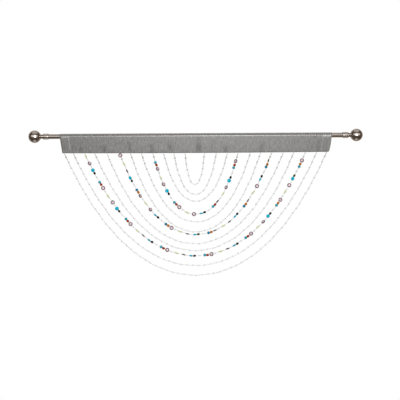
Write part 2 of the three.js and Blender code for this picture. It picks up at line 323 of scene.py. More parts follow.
class Nodes:
    """A node tree under construction."""

    def __init__(self, tree):
        self.tree = tree
        tree.nodes.clear()

    def add(self, kind, settings=None, inputs=None, output=0):
        """Adds a node: its settings first, then its sockets' values or links; gives one output."""
        node = self.tree.nodes.new(kind)
        for name, setting in (settings or {}).items():
            setattr(node, name, setting)
        for socket, value in (inputs or {}).items():
            if isinstance(value, Value):
                self.tree.links.new(value.socket, node.inputs[socket])
            else:
                node.inputs[socket].default_value = value
        return Value(self, node.outputs[output]) if node.outputs else None

    def math(self, operation, *values):
        return self.add("ShaderNodeMath", {"operation": operation}, dict(enumerate(values)))

    def rise(self, value, low, high):
        """0 below low, 1 above high, smooth between."""
        settings = {"interpolation_type": "SMOOTHSTEP"}
        return self.add("ShaderNodeMapRange", settings, {0: value, 1: low, 2: high})

    def blend(self, share, first, second):
        """Colour from first to second."""
        colours = {6: opaque(first), 7: opaque(second)}
        return self.add("ShaderNodeMix", {"data_type": "RGBA"}, {0: share, **colours}, output=2)

    def scaled(self, shade, amount):
        """Colour made darker or brighter by amount."""
        settings = {"operation": "SCALE"}
        return self.add("ShaderNodeVectorMath", settings, {0: shade, "Scale": amount})

    def noise(self, vector, scale, detail=2.0):
        return self.add("ShaderNodeTexNoise", None, {"Vector": vector, "Scale": scale, "Detail": detail})

    def vector(self, x, y, z):
        return self.add("ShaderNodeCombineXYZ", None, {0: x, 1: y, 2: z})

    def parts(self, vector):
        return [
            self.add("ShaderNodeSeparateXYZ", None, {0: vector}, output=axis) for axis in range(3)
        ]

    def place(self):
        return self.add("ShaderNodeTexCoord", output=3)

    def attribute(self, name, output):
        return self.add("ShaderNodeAttribute", {"attribute_name": name}, output=output)

    def bump(self, height, strength, distance):
        return self.add(
            "ShaderNodeBump", None, {"Strength": strength, "Distance": distance, "Height": height}
        )


def opaque(shade):
    """A colour with its alpha, or a link left as it is."""
    return shade if isinstance(shade, Value) else (*shade, 1.0)


class Finish(Nodes):
    """A material of one Principled shader."""

    def __init__(self, name):
        self.material = bpy.data.materials.new(name)
        self.material.use_nodes = True
        super().__init__(self.material.node_tree)

    def shade(self, **inputs):
        """Adds the shader; an input's name is its socket's with underscores for blanks."""
        sockets = {name.replace("_", " "): value for name, value in inputs.items()}
        shader = self.add("ShaderNodeBsdfPrincipled", None, sockets)
        self.add("ShaderNodeOutputMaterial", None, {"Surface": shader})
        return self.material


def satin_nickel(metal):
    """Nickel brushed along the rod, a little duller in patches."""
    finish = Finish("satin_nickel")
    x, y, z = finish.parts(finish.place())
    brushed = finish.noise(finish.vector(x * 40, y * 900, z * 900), 1.0, 3.0)
    patches = finish.noise(finish.place(), 60.0)
    return finish.shade(
        Base_Color=opaque(metal),
        Metallic=1.0,
        Roughness=0.16 + 0.07 * brushed + 0.05 * patches,
        Normal=finish.bump(brushed, 0.05, 0.0002),
    )


def grey_linen(cloth):
    """Plain weave of two greys, with slubs along the yarns and a soft mottle, and painted shade that
    darkens the yarns where they dip.
    """
    finish = Finish("grey_linen")
    along, up, _ = finish.parts(finish.add("ShaderNodeUVMap", {"uv_map": "cloth"}))
    warp = along / cloth.yarn
    weft = up / cloth.yarn
    warp_round = finish.math("ABSOLUTE", finish.math("SINE", warp * math.pi))
    weft_round = finish.math("ABSOLUTE", finish.math("SINE", weft * math.pi))
    over = (finish.math("FLOOR", warp) + finish.math("FLOOR", weft)) % 2.0
    height = over * warp_round + (1 - over) * weft_round
    warp_slub = finish.noise(finish.vector(warp * 0.8, weft * 0.04, 0.0), 1.0, 3.0)
    weft_slub = finish.noise(finish.vector(warp * 0.04, weft * 0.8, 7.0), 1.0, 3.0)
    slub = over * warp_slub + (1 - over) * weft_slub
    mottle = finish.noise(finish.vector(along * 260, up * 60, 3.0), 1.0, 4.0)
    # The yarns' height also darkens the colour where they dip: painted shade, alongside the real slubs
    # and mottle
    share = finish.rise(height * 0.25 + slub * 0.75 + mottle * 0.8 - 0.45, 0.0, 1.0)
    return finish.shade(
        Base_Color=finish.blend(share, cloth.dark, cloth.pale),
        Roughness=0.24 + 0.10 * mottle,
        Specular_IOR_Level=0.65,
        Sheen_Weight=0.7,
        Sheen_Roughness=0.45,
        Normal=finish.bump(height + slub, 0.08, 0.00025),
    )


def sewing_thread(shade):
    """Two-ply thread with slanting ridges, painted darker in the grooves between its plies."""
    finish = Finish("sewing_thread")
    x, y, z = finish.parts(finish.place())
    ply_ridges_and_shade = finish.math("SINE", (x + z) * 9000.0)
    return finish.shade(
        # Painted shade: the colour is darker where the ridges dip
        Base_Color=finish.scaled(shade, 0.9 + 0.15 * ply_ridges_and_shade),
        Roughness=0.7,
        Normal=finish.bump(ply_ridges_and_shade, 0.3, 0.0001),
    )


def clear_thread():
    """Fine transparent filament."""
    finish = Finish("clear_thread")
    cloudy = finish.noise(finish.place(), 300.0)
    return finish.shade(
        Base_Color=finish.blend(cloudy, (0.62, 0.63, 0.64), (0.75, 0.76, 0.77)),
        Roughness=0.25,
        Alpha=0.75,
    )


def clear_glass(name, shade, alpha):
    """Clear bead with faint bubbles and a cloudy heart, made more opaque by painted shade as each bead's
    own share says.
    """
    finish = Finish(name)
    cloudy = finish.noise(finish.place(), 260.0, 3.0)
    dark = tuple(0.55 * part for part in shade)
    return finish.shade(
        Base_Color=finish.blend(finish.rise(cloudy, 0.3, 0.7), dark, shade),
        Roughness=0.05 + 0.08 * cloudy,
        Specular_IOR_Level=0.5,
        # Painted shade: this opacity share darkens the bead near its string's roots and on steep
        # stretches
        Alpha=finish.attribute("cloud", 2) * alpha,
    )


def coloured_glass(name, marks, alpha):
    """Bead of its own colour, streaked darker by marks and glossy."""
    finish = Finish(name)
    own = finish.attribute("bead_colour", 0)
    streaks = finish.rise(finish.noise(finish.place(), 420.0, 4.0), 0.35, 0.75)
    return finish.shade(
        Base_Color=finish.scaled(own, 1.06 - marks * streaks),
        Roughness=0.12 + 0.1 * streaks,
        Specular_IOR_Level=0.08,
        Alpha=alpha,
    )


def mauve_shell(beads):
    """Milky mauve coin, pale in its middle and darkened towards its rim by painted shade, with faint
    bands.
    """
    finish = Finish("mauve_shell")
    rim = finish.attribute("rim", 2)
    bands = finish.noise(finish.place(), 380.0, 3.0)
    # Painted shade: colour and opacity darken towards the rim, as glass looks darker at its edges
    edge = finish.rise(rim + 0.16 * bands - 0.08, 0.40, 0.80)
    return finish.shade(
        Base_Color=finish.blend(edge, beads.mauve_pale, beads.mauve_shaded_rim),
        Roughness=0.1 + 0.12 * bands,
        Specular_IOR_Level=0.3,
        Alpha=0.72 + 0.28 * edge,
    )


def plain_floor(half):
    """Pale matt floor with a trace of cloudiness, fading into the backdrop."""
    finish = Finish("pale_floor")
    cloudy = finish.noise(finish.place(), 3.0)
    x, y, _ = finish.parts(finish.place())
    reach = finish.math("SQRT", x * x + y * y)
    return finish.shade(
        Base_Color=finish.blend(cloudy, (0.84, 0.84, 0.83), (0.88, 0.88, 0.87)),
        Roughness=0.8,
        Alpha=1 - finish.rise(reach, 0.3 * half, 0.95 * half),
    )


# Modelling


def start_piece():
    """Leaves every object deselected, so that operators act on the new piece alone."""
    if bpy.context.object and bpy.context.object.mode != "OBJECT":
        bpy.ops.object.mode_set(mode="OBJECT")
    bpy.ops.object.select_all(action="DESELECT")


def finish_piece(name, material, replaced=()):
    """Names the active piece, applies its place, and hands it to the frame."""
    piece = bpy.context.object
    piece.name = name
    piece.data.name = name
    bpy.ops.object.transform_apply(location=True, rotation=True, scale=True)
    hand_over(piece, material, replaced)
    return piece


def hand_over(piece, material, replaced=()):
    piece.data.materials.clear()
    piece.data.materials.append(material)
    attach(piece, BODY)
    if replaced:
        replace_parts(piece, *replaced)


def apply_modifier(kind, **settings):
    """Adds a modifier to the active piece and applies it."""
    modifier = bpy.context.object.modifiers.new(kind.title(), kind)
    for name, setting in settings.items():
        setattr(modifier, name, setting)
    bpy.ops.object.modifier_apply(modifier=modifier.name)


def make_active(piece):
    """Leaves one piece selected and active."""
    start_piece()
    piece.select_set(True)
    bpy.context.view_layer.objects.active = piece


def select_ends(axis):
    """Selects the faces of the piece in edit mode that lie square to an axis, by the axis's number."""
    bpy.ops.object.mode_set(mode="OBJECT")
    mesh = bpy.context.object.data
    for part in (mesh.vertices, mesh.edges, mesh.polygons):
        part.foreach_set("select", np.zeros(len(part), dtype=bool))
    for face in mesh.polygons:
        face.select = abs(face.normal[axis]) > 0.99
    bpy.ops.object.mode_set(mode="EDIT")
    bpy.ops.mesh.select_mode(type="FACE")


def turned_piece(profile, sides):
    """A piece turned about X: a ring is drawn from place to place of a profile of (place, radius)."""
    start_piece()
    (place, radius), *_ = profile
    bpy.ops.mesh.primitive_circle_add(
        vertices=sides,
        radius=radius,
        fill_type="NGON",
        location=(place, 0, 0),
        rotation=(0, math.pi / 2, 0),
    )
    bpy.ops.object.transform_apply(location=True, rotation=True, scale=True)
    bpy.ops.object.mode_set(mode="EDIT")
    bpy.ops.mesh.select_mode(type="EDGE")
    bpy.ops.mesh.select_all(action="SELECT")
    bpy.ops.mesh.region_to_loop()
    for (place, radius), (next_place, next_radius) in pairwise(profile):
        bpy.ops.mesh.extrude_edges_move(TRANSFORM_OT_translate={"value": (next_place - place, 0, 0)})
        growth = next_radius / radius
        bpy.ops.transform.resize(value=(1, growth, growth), center_override=(next_place, 0, 0))
    bpy.ops.mesh.edge_face_add()
    bpy.ops.mesh.poke()
    bpy.ops.mesh.select_all(action="SELECT")
    bpy.ops.mesh.normals_make_consistent(inside=False)
    bpy.ops.object.mode_set(mode="OBJECT")
    bpy.ops.object.shade_smooth_by_angle(angle=math.radians(35))


def mesh_piece(name, points, corners, sizes, smooth, attributes=()):
    """An object at the origin from arrays of points and of faces' corners."""
    mesh = bpy.data.meshes.new(name)
    mesh.vertices.add(len(points))
    mesh.vertices.foreach_set("co", np.asarray(points, np.float32).ravel())
    mesh.loops.add(len(corners))
    mesh.loops.foreach_set("vertex_index", np.asarray(corners, np.int32))
    mesh.polygons.add(len(sizes))
    starts = np.concatenate([[0], np.cumsum(sizes)[:-1]])
    mesh.polygons.foreach_set("loop_start", starts.astype(np.int32))
    mesh.polygons.foreach_set("use_smooth", np.asarray(smooth, bool))
    for attribute, kind, field, values in attributes:
        layer = mesh.attributes.new(attribute, kind, "POINT")
        layer.data.foreach_set(field, np.asarray(values, np.float32).ravel())
    mesh.update(calc_edges=True)
    if mesh.validate():
        raise RuntimeError(f"{name} has faces that Blender had to mend")
    piece = bpy.data.objects.new(name, mesh)
    bpy.context.scene.collection.objects.link(piece)
    return piece


# A modelled shape as arrays: points, faces' corners and sizes, and which faces are smooth
Shape = namedtuple("Shape", "points corners sizes smooth")


def take_shape(smooth_angle=None):
    """The active piece as arrays, smooth over edges up to an angle in degrees; the piece is removed."""
    bpy.ops.object.mode_set(mode="OBJECT")
    if smooth_angle:
        bpy.ops.object.shade_smooth_by_angle(angle=math.radians(smooth_angle))
    model = bpy.context.object
    bpy.ops.object.transform_apply(location=True, rotation=True, scale=True)
    mesh = model.data
    points = np.empty(3 * len(mesh.vertices), np.float32)
    mesh.vertices.foreach_get("co", points)
    corners = np.empty(len(mesh.loops), np.int32)
    mesh.loops.foreach_get("vertex_index", corners)
    sizes = np.empty(len(mesh.polygons), np.int32)
    mesh.polygons.foreach_get("loop_total", sizes)
    smooth = np.empty(len(mesh.polygons), bool)
    mesh.polygons.foreach_get("use_smooth", smooth)
    bpy.data.objects.remove(model)
    return Shape(points.reshape(-1, 3), corners, sizes, smooth)


def join_copies(name, shape, places, axes, attributes=()):
    """One mesh of a shape's copies; axes holds each copy's own X, Y and Z as columns."""
    count, size = len(places), len(shape.points)
    points = np.einsum("nij,pj->npi", axes, shape.points) + places[:, None, :]
    corners = (shape.corners[None, :] + size * np.arange(count)[:, None]).ravel()
    return mesh_piece(
        name,
        points.reshape(-1, 3),
        corners,
        np.tile(shape.sizes, count),
        np.tile(shape.smooth, count),
        attributes,
    )


# The hanging cloth


def rising(value, low, high):
    """0 below low, 1 above high, smooth between."""
    share = np.clip((value - low) / (high - low), 0, 1)
    return share * share * (3 - 2 * share)


def hem_z(cloth, x):
    return cloth.hem_z - cloth.hem_sag * (1 - (x / cloth.half_foot) ** 2)


def fold_y(cloth, x, z):
    """How far the layers' folds carry them from the room."""
    down = np.clip(z / hem_z(cloth, x), 0, 1)
    y = np.zeros_like(down)
    for fold in FOLDS:
        across = (x / MM - fold.at) / fold.half
        y = y + MM * fold.depth * rising(down, 1 - fold.climb, 1) * np.exp(-across * across)
    return y


def cloth_x(cloth, share, z):
    """Place along the rod, drawn in towards the foot, bowed and rounded at the right."""
    top = cloth.pocket + cloth.thickness / 2
    down = np.clip((top - z) / (top - cloth.hem_z), 0, 1)
    half = cloth.half_top + (cloth.half_foot - cloth.half_top) * down
    bow = cloth.right_bow * rising(share, 0.0, 1.0) * np.sin(math.pi * down)
    near_foot = np.clip(1 - (z - hem_z(cloth, share * cloth.half_foot)) / cloth.corner, 0, 1)
    corner = cloth.corner * (1 - np.sqrt(1 - near_foot**2))
    return share * half + bow - corner * rising(share, 0.985, 1)


def foot_gap(cloth):
    """Distance of one layer's middle from the plane between the two, at the lower edge."""
    return 2.4 * cloth.thickness


def leaving_angle(cloth):
    """Where the layers leave the pocket for their lower edge, turned from straight down."""
    foot = foot_gap(cloth)
    return math.acos(cloth.pocket / math.hypot(foot, cloth.hem_z)) + math.atan(-foot / cloth.hem_z)


def layer_gap(cloth, x, z):
    """Distance of one layer's middle from the plane between the two."""
    hem = hem_z(cloth, x)
    leaving = leaving_angle(cloth)
    foot = foot_gap(cloth)
    top_gap, top_z = cloth.pocket * math.sin(leaving), -cloth.pocket * math.cos(leaving)
    straight = foot + (top_gap - foot) * (z - hem) / (top_z - hem)
    inner = cloth.half_foot - cloth.side_hem
    side = rising(np.abs(x), inner, inner + 0.0015) * rising(top_z - z, 0, 0.003)
    return straight + 0.6 * cloth.thickness * side


def front_path(cloth, x):
    """One layer from its turned-in edge to the top of the pocket: rows of offset and height."""
    hem = hem_z(cloth, x)
    out = layer_gap(cloth, x, hem)
    radius = 0.7 * cloth.thickness
    rows = [(out - 2 * radius, hem + share * cloth.turn_in) for share in (0.95, 0.6)]
    for angle in np.linspace(0, math.pi, 7):
        rows.append((out - radius - radius * math.cos(angle), hem + radius - radius * math.sin(angle)))
    leaving = leaving_angle(cloth)
    top_z = -cloth.pocket * math.cos(leaving)
    for share in np.linspace(0.02, 1, 28)[:-1]:
        z = hem + radius + (top_z - hem - radius) * share
        rows.append((layer_gap(cloth, x, z), z))
    for angle in np.linspace(leaving, math.pi, 15):
        place = cloth.pocket * np.array([math.sin(angle), -math.cos(angle)])
        rows.append((np.full_like(x, place[0]), np.full_like(x, place[1])))
    return rows


def heading_grid(cloth):
    """Points of the folded cloth by row and column, from the front hem over the rod to the back."""
    inner = cloth.half_foot - cloth.side_hem
    steps = (-0.001, 0.0, 0.001, 0.002)
    edges = [side * (inner + step) / cloth.half_foot for side in (-1, 1) for step in steps]
    shares = np.unique(np.concatenate([np.linspace(-1, 1, 231), edges, [0.99, 0.994, 0.997]]))
    x = shares * cloth.half_foot
    front = front_path(cloth, x)
    rows = [(-offset, z) for offset, z in front] + [(offset, z) for offset, z in reversed(front[:-1])]
    grid = np.empty((len(rows), len(shares), 3))
    for row, (offset, z) in zip(grid, rows):
        row[:, 0] = cloth_x(cloth, shares, z)
        row[:, 1] = offset + fold_y(cloth, row[:, 0], z)
        row[:, 2] = z
    return grid


def grid_piece(name, grid):
    """A sheet through a grid of points, with a UV map in metres of cloth."""
    rows, columns, _ = grid.shape
    index = np.arange(rows * columns).reshape(rows, columns)
    quads = [index[:-1, :-1], index[:-1, 1:], index[1:, 1:], index[1:, :-1]]
    corners = np.stack(quads, axis=-1).reshape(-1)
    faces = (rows - 1) * (columns - 1)
    piece = mesh_piece(name, grid.reshape(-1, 3), corners, np.full(faces, 4), np.ones(faces, bool))
    middle = grid[:, columns // 2]
    up = np.concatenate([[0], np.cumsum(np.linalg.norm(np.diff(middle, axis=0), axis=1))])
    flat = np.stack([grid[:, :, 0], np.repeat(up[:, None], columns, axis=1)], axis=-1).reshape(-1, 2)
    layer = piece.data.uv_layers.new(name="cloth")
    layer.data.foreach_set("uv", flat[corners].astype(np.float32).ravel())
    return piece


# The hanging strings


def catenary_scale(half_span, sag):
    """Length scale of the hanging curve with this half span and sag."""
    low, high = half_span / 20, half_span * 20
    for _ in range(60):
        middle = (low + high) / 2
        if middle * (math.cosh(half_span / middle) - 1) > sag:
            low = middle
        else:
            high = middle
    return (low + high) / 2


class HangingString:
    """The middle line of one bead string, by its length from the left root."""

    def __init__(self, cloth, beads, order):
        swag = SWAGS[order]
        roots = MM * np.array([swag.left, swag.right])
        half_span = (roots[1] - roots[0]) / 2
        self.swag = swag
        self.order = order
        self.beads = beads
        self.lean = MM * swag.lean
        self.sag = MM * swag.sag
        self.middle = roots.mean()
        self.scale = catenary_scale(half_span, self.sag)
        self.half = self.scale * math.sinh(half_span / self.scale)
        self.length = 2 * self.half
        self.root_z = hem_z(cloth, roots)
        self.root_y = fold_y(cloth, roots, self.root_z)

    def stray(self, along, wave_lengths, phase):
        """A small smooth wandering, none at the roots."""
        first, second = wave_lengths
        waves = np.sin(along / first + phase) + 0.7 * np.sin(along / second + 2.3 * phase)
        held = rising(along, 0, 0.03) * rising(self.length - along, 0, 0.03)
        return self.beads.wobble * held * waves

    def points(self, along):
        """Places on the curve; past a root it runs on straight."""
        inside = np.clip(along, 0, self.length)
        s = inside - self.half
        share = inside / self.length
        x = self.middle + self.scale * np.arcsinh(s / self.scale) + 4 * self.lean * share * (1 - share)
        y = self.root_y[0] + (self.root_y[1] - self.root_y[0]) * share
        z = self.root_z[0] + (self.root_z[1] - self.root_z[0]) * share
        z = z + np.hypot(self.scale, s) - self.scale - self.sag
        slope = np.arctan2(s, self.scale)
        side = self.stray(inside, SIDE_WAVES, 1.9 * self.order)
        depth = self.stray(inside, DEPTH_WAVES, 1.1 + 2.6 * self.order)
        past = along - inside
        x = x - side * np.sin(slope) + past * np.cos(slope)
        z = z + side * np.cos(slope) + past * np.sin(slope)
        return np.stack([x, y + depth, z], axis=-1)

    def frames(self, along, turn):
        """Places and axes of beads: X along the string, Z turned from the room about it."""
        step = 0.0005
        tangent = self.points(along + step) - self.points(along - step)
        tangent /= np.linalg.norm(tangent, axis=1, keepdims=True)
        across = np.cross(tangent, [0, 1, 0])
        across /= np.linalg.norm(across, axis=1, keepdims=True)
        facing = np.cross(across, tangent)
        facing *= -np.sign(facing[:, 1:2])
        normal = facing * np.cos(turn)[:, None] + across * np.sin(turn)[:, None]
        return self.points(along), np.stack([tangent, np.cross(normal, tangent), normal], axis=-1)

    def main_beads(self):
        """The larger beads: kind, place from the left root, and the letter from its column."""
        swag, beads = self.swag, self.beads
        if swag.repeat is None:
            places = np.arange(MM * swag.start, self.length - beads.end_margin, beads.clear_pitch)
            return [("clear", place, None) for place in places]
        letters = {name: iter(getattr(swag, name)) for name in Swag._fields[6:]}
        found = []
        for repeat in range(-1, math.ceil(self.length / (MM * swag.repeat))):
            for at, bead, column in MOTIF:
                place = MM * (swag.start + repeat * swag.repeat + at)
                if beads.end_margin <= place <= self.length - beads.end_margin:
                    found.append((bead, place, next(letters[column]) if column else None))
        return found

    def all_beads(self):
        """The larger beads and the seeds and bugles that fill the thread between them."""
        found = self.main_beads()
        ends = [BARE_THREAD]
        for kind, at, _ in found:
            ends += [at - MM * BEADS[kind].length / 2, at + MM * BEADS[kind].length / 2]
        ends.append(self.length - BARE_THREAD)
        for start, end in zip(ends[::2], ends[1::2]):
            found = found + [(kind, at, None) for kind, at in filling(start, end)]
        return found


def filling(start, end):
    """Seeds, or a bugle between two seeds, spread evenly over a bare stretch of thread."""
    seed, bugle = MM * BEADS["seed"].length, MM * BEADS["bugle"].length
    room = end - start
    sets = int(room / (2 * seed + bugle))
    kinds = ["seed", "bugle", "seed"] * sets if sets else ["seed"] * int(room / seed)
    slack = (room - sum(MM * BEADS[kind].length for kind in kinds)) / (len(kinds) + 1)
    placed = []
    at = start
    for kind in kinds:
        size = MM * BEADS[kind].length
        placed.append((kind, at + slack + size / 2))
        at += slack + size
    return placed


def hanging_strings(context):
    scene = context.scene
    return [HangingString(scene.valance_cloth, scene.valance_beads, order) for order in range(len(SWAGS))]


# Bead shapes, each modelled once at its size with its bore along X


def cut_ends(half):
    """Cuts the bead's two ends flat and sinks the mouth of its bore into them."""
    for side in (-1, 1):
        bpy.ops.mesh.select_all(action="SELECT")
        bpy.ops.mesh.bisect(
            plane_co=(side * half, 0, 0), plane_no=(side, 0, 0), use_fill=True, clear_outer=True
        )
    select_ends(0)
    bpy.ops.mesh.inset(thickness=0.25 * MM, depth=-0.3 * MM, use_individual=True)


def round_bead(kind, segments, rings, smooth):
    """A ball or oval with flat bored ends."""
    bead = BEADS[kind]
    start_piece()
    bpy.ops.mesh.primitive_uv_sphere_add(
        segments=segments, ring_count=rings, radius=0.5, rotation=(0, math.pi / 2, 0)
    )
    bpy.ops.object.transform_apply(rotation=True)
    bpy.ops.transform.resize(value=(1.08 * MM * bead.length, MM * bead.width, MM * bead.depth))
    bpy.ops.object.transform_apply(scale=True)
    bpy.ops.object.mode_set(mode="EDIT")
    cut_ends(MM * bead.length / 2)
    return take_shape(50 if smooth else None)


def six_sided_bar(radius, depth):
    """Starts a piece along X and leaves it in edit mode with its ends selected."""
    start_piece()
    bpy.ops.mesh.primitive_cylinder_add(
        vertices=6, radius=radius, depth=depth, rotation=(0, math.pi / 2, 0)
    )
    bpy.ops.object.transform_apply(rotation=True)
    bpy.ops.object.mode_set(mode="EDIT")
    select_ends(0)


def bugle_bead():
    """A short cut length of six-sided glass tube with softened ends."""
    bead = BEADS["bugle"]
    six_sided_bar(MM * bead.width / 2, MM * bead.length)
    bpy.ops.mesh.bevel(offset=0.35 * MM, segments=1)
    select_ends(0)
    bpy.ops.mesh.inset(thickness=0.2 * MM, depth=-0.3 * MM, use_individual=True)
    return take_shape(65)


def coin_bead(kind):
    """A coin strung across its width: a disc with a rounded rim and domed faces, its axis along Z."""
    bead = BEADS[kind]
    radius, depth = MM * bead.width / 2, MM * bead.depth
    start_piece()
    bpy.ops.mesh.primitive_cylinder_add(vertices=24, radius=radius, depth=0.55 * depth)
    bpy.ops.object.mode_set(mode="EDIT")
    select_ends(2)
    bpy.ops.mesh.bevel(offset=0.2 * depth, segments=2)
    select_ends(2)
    bpy.ops.mesh.inset(thickness=0.28 * radius, depth=0.16 * depth, use_individual=True)
    bpy.ops.mesh.inset(thickness=0.3 * radius, depth=0.06 * depth, use_individual=True)
    bpy.ops.mesh.poke(offset=0.01 * depth)
    return take_shape(60)


def stitch_shape(cloth):
    """One stitch: a short thread that dips into the cloth at both ends, along X."""
    radius = 0.28 * MM
    six_sided_bar(radius, 0.72 * cloth.stitch)
    bpy.ops.mesh.extrude_faces_move(TRANSFORM_OT_shrink_fatten={"value": 0.25 * MM})
    bpy.ops.transform.resize(value=(1, 0.5, 0.5), center_override=(0, 0, 0))
    bpy.ops.transform.translate(value=(0, 0, -0.6 * radius))
    return take_shape(60)


# Operators


class VALANCE_OT_rod(bpy.types.Operator):
    """Make the steel tube that the heading hangs from"""

    bl_idname = "valance.rod"
    bl_label = "Rod"

    def execute(self, context):
        metal = context.scene.valance_metal
        start_piece()
        bpy.ops.mesh.primitive_cylinder_add(
            vertices=96,
            radius=metal.rod_diameter / 2,
            depth=ROD_BOX[1].x - ROD_BOX[0].x,
            end_fill_type="NOTHING",
            rotation=(0, math.pi / 2, 0),
        )
        bpy.ops.object.transform_apply(rotation=True)
        bpy.ops.object.mode_set(mode="EDIT")
        bpy.ops.mesh.select_all(action="SELECT")
        bpy.ops.mesh.subdivide(number_cuts=1)
        bpy.ops.object.mode_set(mode="OBJECT")
        apply_modifier("SOLIDIFY", thickness=metal.rod_wall, offset=-1)
        apply_modifier("BEVEL", width=0.2 * metal.rod_wall, segments=2, limit_method="ANGLE")
        bpy.ops.object.shade_smooth_by_angle(angle=math.radians(35))
        finish_piece("rod_tube", satin_nickel(metal.metal), ["rod"])
        return {"FINISHED"}


class VALANCE_OT_finials(bpy.types.Operator):
    """Make the two turned finials"""

    bl_idname = "valance.finials"
    bl_label = "Finials"

    def profile(self, metal):
        """Places along the rod and radii, from the socket's floor out and round to the ball's tip."""
        socket = metal.rod_diameter / 2 + metal.socket_gap
        collar = metal.collar_diameter / 2
        waist = metal.waist_diameter / 2
        ball = metal.ball_diameter / 2
        edge = metal.collar_edge
        centre = FINIAL_BOX[1].x - ball
        rows = [(ROD_BOX[1].x + metal.socket_gap, socket), (metal.collar_from, socket)]
        for angle in np.linspace(0, math.pi / 2, 5):
            lift = edge * np.array([1 - math.cos(angle), math.sin(angle)])
            rows.append((metal.collar_from + lift[0], collar - edge + lift[1]))
        # One more ring beside the inner edge, so that the sleeve is shaded as a straight one there
        rows.append((metal.collar_from + 2 * edge, collar))
        for angle in np.linspace(0, math.pi / 2, 5):
            lift = edge * np.array([math.sin(angle), math.cos(angle)])
            rows.append((metal.collar_to - edge + lift[0], collar - edge + lift[1]))
        first = math.asin(waist / ball)
        neck = centre - ball * math.cos(first)
        for share in np.linspace(0, 1, 9):
            place = metal.collar_to + (neck - metal.collar_to) * share
            groove = metal.groove * (1 - abs(2 * share - 1))
            rows.append((place + 0.0001, collar - edge + (waist - collar + edge) * share - groove))
        for angle in np.linspace(first, math.pi, 37)[1:-1]:
            rows.append((centre - ball * math.cos(angle), ball * math.sin(angle)))
        rows.append((FINIAL_BOX[1].x, 0.0006))
        return rows

    def execute(self, context):
        metal = context.scene.valance_metal
        material = bpy.data.materials["satin_nickel"]
        turned_piece(self.profile(metal), 72)
        right = finish_piece("ball_finial_right", material, ["finial_right"])
        make_active(right)
        bpy.ops.object.duplicate()
        bpy.ops.transform.rotate(value=math.pi, orient_axis="Z", center_override=(0, 0, 0))
        left = context.object
        del left["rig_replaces"]
        finish_piece("ball_finial_left", material, ["finial_left"])
        return {"FINISHED"}


class VALANCE_OT_heading(bpy.types.Operator):
    """Make the cloth folded over the rod"""

    bl_idname = "valance.heading"
    bl_label = "Heading"

    def execute(self, context):
        cloth = context.scene.valance_cloth
        piece = grid_piece("heading_cloth", heading_grid(cloth))
        make_active(piece)
        apply_modifier("SOLIDIFY", thickness=cloth.thickness, offset=0)
        hand_over(piece, grey_linen(cloth), ["heading"])
        return {"FINISHED"}


class VALANCE_OT_stitching(bpy.types.Operator):
    bl_idname = "valance.stitching"
    bl_label = "Stitching"

    def row_places(self, cloth):
        """Ends of each row of stitches along the rod and down: x and z at its two ends."""
        inner = cloth.half_foot - cloth.side_hem + 0.002
        end = cloth.half_foot - 0.003
        hem = cloth.hem_z + cloth.turn_in - 0.0006
        level = ((-end, hem), (end, hem))
        upright = [((s * inner, -0.005), (s * inner, hem + 0.002)) for s in (-1, 1)]
        return [level, *upright]

    def execute(self, context):
        cloth = context.scene.valance_cloth
        places, axes = [], []
        for (x0, z0), (x1, z1) in self.row_places(cloth):
            count = int(math.hypot(x1 - x0, z1 - z0) / cloth.stitch)
            share = (np.arange(count) + 0.5) / count
            x = x0 + (x1 - x0) * share
            z = z0 + (z1 - z0) * share
            if z0 == z1:
                z = z + hem_z(cloth, x) - cloth.hem_z
            along = np.array([x1 - x0, 0, z1 - z0]) / math.hypot(x1 - x0, z1 - z0)
            for side in (-1, 1):
                y = fold_y(cloth, x, z) + side * (layer_gap(cloth, x, z) + 0.62 * cloth.thickness)
                out = np.array([0, side, 0])
                places.append(np.stack([x, y, z], axis=-1))
                frame_axes = np.stack([along, np.cross(out, along), out], axis=-1)
                axes.append(np.repeat(frame_axes[None], count, axis=0))
        shape = stitch_shape(cloth)
        stitches = join_copies("stitching", shape, np.concatenate(places), np.concatenate(axes))
        hand_over(stitches, sewing_thread(cloth.thread))
        arc = 2 * (math.pi - leaving_angle(cloth)) * cloth.pocket
        return {"FINISHED"}


class VALANCE_OT_strings(bpy.types.Operator):
    """Hang the threads that carry the beads"""

    bl_idname = "valance.strings"
    bl_label = "Strings"

    def execute(self, context):
        beads = context.scene.valance_beads
        sides, step, sewn_in = 6, 0.005, 0.004
        angles = 2 * math.pi * np.arange(sides) / sides
        ring = beads.thread / 2 * np.stack([np.zeros(sides), np.cos(angles), np.sin(angles)], axis=-1)
        points, corners, sizes = [], [], []
        first = 0
        for string in hanging_strings(context):
            count = math.ceil((string.length + 2 * sewn_in) / step)
            along = np.linspace(-sewn_in, string.length + sewn_in, count)
            places, axes = string.frames(along, np.zeros(count))
            points.append((np.einsum("nij,pj->npi", axes, ring) + places[:, None, :]).reshape(-1, 3))
            index = first + np.arange(count * sides).reshape(count, sides)
            after = np.roll(index, -1, axis=1)
            quads = np.stack([index[:-1], after[:-1], after[1:], index[1:]], axis=-1)
            corners += [quads.ravel(), index[0][::-1], index[-1]]
            sizes += [np.full((count - 1) * sides, 4), [sides, sides]]
            first += count * sides
        sizes = np.concatenate(sizes)
        piece = mesh_piece(
            "bead_threads", np.concatenate(points), np.concatenate(corners), sizes, sizes == 4
        )
        hand_over(piece, clear_thread(), ["bead_swags"])
        return {"FINISHED"}


